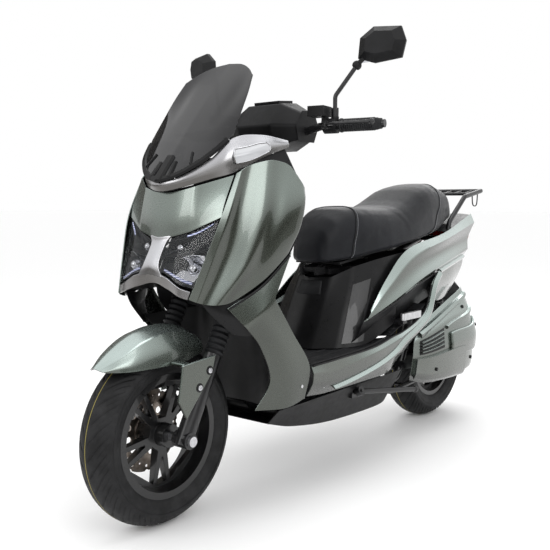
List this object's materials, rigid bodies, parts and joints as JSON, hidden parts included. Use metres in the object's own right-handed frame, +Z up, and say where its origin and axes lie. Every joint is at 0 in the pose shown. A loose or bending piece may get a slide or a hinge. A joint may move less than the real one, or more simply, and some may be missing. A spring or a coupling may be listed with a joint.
{
  "type": "moped scooter",
  "caption": "Step-through electric moped scooter with twin headlights, tinted screen, two-level seat, luggage rack, telescopic fork and hub-motor rear wheel.",
  "frame": {"origin": "on the ground, in the middle of the scooter's length and width", "axes": "+X forward, +Y to the rider's left, +Z up"},
  "size_m": [1.884, 0.792, 1.2898],
  "materials": {
    "paint": "metallic sage green paint, gloss clear coat",
    "trim": "satin silver plated trim",
    "black_plastic": "fine textured black plastic",
    "lens": "clear moulded lens",
    "tail_lens": "red lens",
    "screen": "smoke tinted screen",
    "reflector": "metallised reflector",
    "frame_black": "black powder coat",
    "wheel_black": "satin black cast wheel",
    "tyre": "road tread",
    "disc": "drilled wavy disc",
    "steel": "bright zinc",
    "alloy": "cast, lightly polished",
    "caliper": "black anodised casting",
    "rubber": "ribbed soft rubber",
    "seat": "grained leatherette",
    "seat_plastic": "moulded base",
    "display": "dark display window",
    "battery": "moulded case",
    "spring": "black spring steel"
  },
  "bodies": {
    "chassis": {"main_frame": "frame_black", "hood": "paint", "front_side_panels": "paint", "front_trim": "trim", "front_lenses": "lens", "headlight_housing": "reflector", "windscreen": "screen", "front_inner_shroud": "black_plastic", "inner_leg_shield": "black_plastic", "floor_board": "rubber", "sill_panels": "paint", "belly_pan": "black_plastic", "battery_pack": "battery", "under_seat_cover": "black_plastic", "side_panels": "paint", "tail_light": "tail_lens", "rear_mudguard": "black_plastic", "storage_bucket": "seat_plastic", "rear_rack": "frame_black", "body_screws": "steel"},
    "steering": {"steering_stem": "frame_black", "fork_stanchions": "steel", "fork_bellows": "rubber", "handlebar": "frame_black", "left_grip": "rubber", "switch_housings": "black_plastic", "handlebar_cover": "black_plastic", "display": "display"},
    "fork_lower": {"fork_legs": "frame_black", "front_axle": "steel", "front_caliper": "caliper", "front_fender": "paint", "fender_brackets": "paint"},
    "front_wheel": {"front_rim": "wheel_black", "front_tyre": "tyre", "front_disc": "disc"},
    "brake_lever_left": {"brake_lever_left": "frame_black"},
    "brake_lever_right": {"brake_lever_right": "frame_black"},
    "throttle": {"throttle_grip": "rubber"},
    "horn_button": {"horn_button": "trim"},
    "start_button": {"start_button": "tail_lens"},
    "mirror_stem_left": {"mirror_stem_left": "frame_black"},
    "mirror_stem_right": {"mirror_stem_right": "frame_black"},
    "mirror_left": {"mirror_head_left": "black_plastic"},
    "mirror_right": {"mirror_head_right": "black_plastic"},
    "seat": {"seat_base": "seat_plastic", "seat_cushion": "seat"},
    "swingarm": {"swingarm": "frame_black", "swingarm_cover": "paint", "rear_caliper": "caliper"},
    "rear_wheel": {"hub_motor": "wheel_black", "rear_tyre": "tyre", "rear_disc": "disc"},
    "shock_bodies": {"shock_bodies": "frame_black", "shock_springs": "spring"},
    "shock_rods": {"shock_rods": "steel"},
    "centre_stand": {"centre_stand": "frame_black"},
    "side_stand": {"side_stand": "frame_black"},
    "footrest_left": {"footrest_left": "alloy"},
    "footrest_right": {"footrest_right": "alloy"}
  },
  "joints": [
    {"name": "steering", "type": "hinge", "parent": "chassis", "child": "steering", "pos_m": [0.45287, 0, 0.63891], "axis": [-0.4695, 0, 0.8829], "range_deg": [-36, 36]},
    {"name": "fork_slide", "type": "slide", "parent": "steering", "child": "fork_lower", "axis": [-0.4695, 0, 0.8829], "range_m": [0, 0.075], "stiffness_N_per_m": 9000, "springref_m": -0.06, "deforming": ["fork_bellows"]},
    {"name": "front_wheel_spin", "type": "hinge", "parent": "fork_lower", "child": "front_wheel", "pos_m": [0.71, 0, 0.232], "axis": [0, 1, 0], "continuous": true},
    {"name": "brake_lever_left_pull", "type": "hinge", "parent": "steering", "child": "brake_lever_left", "pos_m": [0.28904, 0.21555, 1.02875], "axis": [0, 0, 1], "range_deg": [0, 14], "stiffness_Nm_per_rad": 2, "springref_deg": -8.59},
    {"name": "brake_lever_right_pull", "type": "hinge", "parent": "steering", "child": "brake_lever_right", "pos_m": [0.28904, -0.21555, 1.02875], "axis": [0, 0, -1], "range_deg": [0, 14], "stiffness_Nm_per_rad": 2, "springref_deg": -8.59},
    {"name": "throttle_twist", "type": "hinge", "parent": "steering", "child": "throttle", "pos_m": [0.25569, -0.175, 1.02875], "axis": [-0.1771, -0.9842, 0], "range_deg": [0, 70], "stiffness_Nm_per_rad": 0.6, "springref_deg": -11.46},
    {"name": "horn_press", "type": "slide", "parent": "steering", "child": "horn_button", "axis": [0.9842, 0.1771, 0], "range_m": [0, 0.002], "stiffness_N_per_m": 800, "springref_m": -0.0005},
    {"name": "start_press", "type": "slide", "parent": "steering", "child": "start_button", "axis": [0.9842, -0.1771, 0], "range_m": [0, 0.002], "stiffness_N_per_m": 800, "springref_m": -0.0005},
    {"name": "mirror_stem_left_turn", "type": "hinge", "parent": "steering", "child": "mirror_stem_left", "pos_m": [0.2479, 0.2183, 1.05275], "axis": [0, 0, 1], "range_deg": [-20, 40]},
    {"name": "mirror_stem_right_turn", "type": "hinge", "parent": "steering", "child": "mirror_stem_right", "pos_m": [0.2479, -0.2183, 1.05275], "axis": [0, 0, -1], "range_deg": [-20, 40]},
    {"name": "mirror_left_tilt", "type": "hinge", "parent": "mirror_stem_left", "child": "mirror_left", "pos_m": [0.2119, 0.26431, 1.19075], "axis": [0, 1, 0], "range_deg": [-12, 12]},
    {"name": "mirror_right_tilt", "type": "hinge", "parent": "mirror_stem_right", "child": "mirror_right", "pos_m": [0.2119, -0.26431, 1.19075], "axis": [0, 1, 0], "range_deg": [-12, 12]},
    {"name": "seat_open", "type": "hinge", "parent": "chassis", "child": "seat", "pos_m": [0.07, 0, 0.612], "axis": [0, 1, 0], "range_deg": [0, 62]},
    {"name": "swingarm_lift", "type": "hinge", "parent": "chassis", "child": "swingarm", "pos_m": [-0.3, 0, 0.262], "axis": [0, 1, 0], "range_deg": [0, 8], "stiffness_Nm_per_rad": 2500, "springref_deg": -6.88},
    {"name": "rear_wheel_spin", "type": "hinge", "parent": "swingarm", "child": "rear_wheel", "pos_m": [-0.675, 0, 0.236], "axis": [0, 1, 0], "continuous": true},
    {"name": "shock_swing", "type": "hinge", "parent": "chassis", "child": "shock_bodies", "pos_m": [-0.56, 0, 0.575], "axis": [0, 1, 0], "range_deg": [-0.234, 0]},
    {"name": "shock_slide", "type": "slide", "parent": "shock_bodies", "child": "shock_rods", "axis": [0.139, 0, 0.9903], "range_m": [0, 0.04286], "deforming": ["shock_springs"]},
    {"name": "centre_stand_drop", "type": "hinge", "parent": "chassis", "child": "centre_stand", "pos_m": [-0.262, 0, 0.185], "axis": [0, -1, 0], "range_deg": [0, 108]},
    {"name": "side_stand_drop", "type": "hinge", "parent": "chassis", "child": "side_stand", "pos_m": [0.05, 0.178, 0.245], "axis": [-0.0538, -0.9043, -0.4236], "range_deg": [0, 105.9]},
    {"name": "footrest_left_fold", "type": "hinge", "parent": "chassis", "child": "footrest_left", "pos_m": [-0.128, 0.222, 0.458], "axis": [0, 0, -1], "range_deg": [0, 80]},
    {"name": "footrest_right_fold", "type": "hinge", "parent": "chassis", "child": "footrest_right", "pos_m": [-0.128, -0.222, 0.458], "axis": [0, 0, 1], "range_deg": [0, 80]}
  ],
  "couplings": [
    {"joint": "shock_swing", "follows": "swingarm_lift", "ratio": -0.02871},
    {"joint": "shock_slide", "follows": "swingarm_lift", "m_per_rad": 0.30096}
  ]
}
